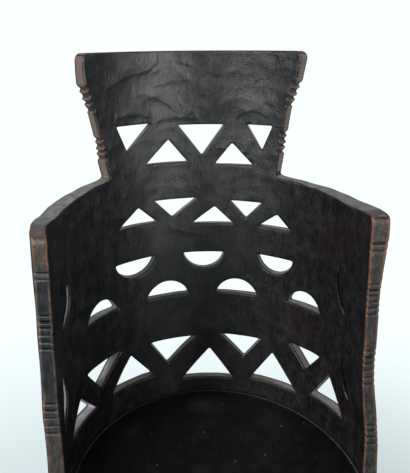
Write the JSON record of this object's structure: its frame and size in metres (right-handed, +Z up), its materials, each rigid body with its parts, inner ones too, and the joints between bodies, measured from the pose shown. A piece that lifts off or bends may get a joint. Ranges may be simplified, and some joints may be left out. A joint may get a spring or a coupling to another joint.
{
  "type": "barrel chair",
  "caption": "High-backed barrel armchair hewn from a log, its wall pierced with zigzags and half-moons, with a flared headpiece, a round dished seat board and short legs.",
  "frame": {"origin": "on the floor, in the middle of the chair's width and depth", "axes": "+Z up, -Y the way the chair faces, +X to the right of someone looking at its front"},
  "size_m": [0.4756, 0.502, 0.965],
  "materials": {
    "carved_wood": "dark stained, waxed, adze facets, worn arrises",
    "seat_wood": "very dark, satin, worn by sitting, a little dusty",
    "peg_wood": "dark brown, whittled, end grain"
  },
  "bodies": {
    "root": {"hewn_shell": "carved_wood", "seat_board": "seat_wood", "seat_pegs": "peg_wood"}
  },
  "joints": []
}
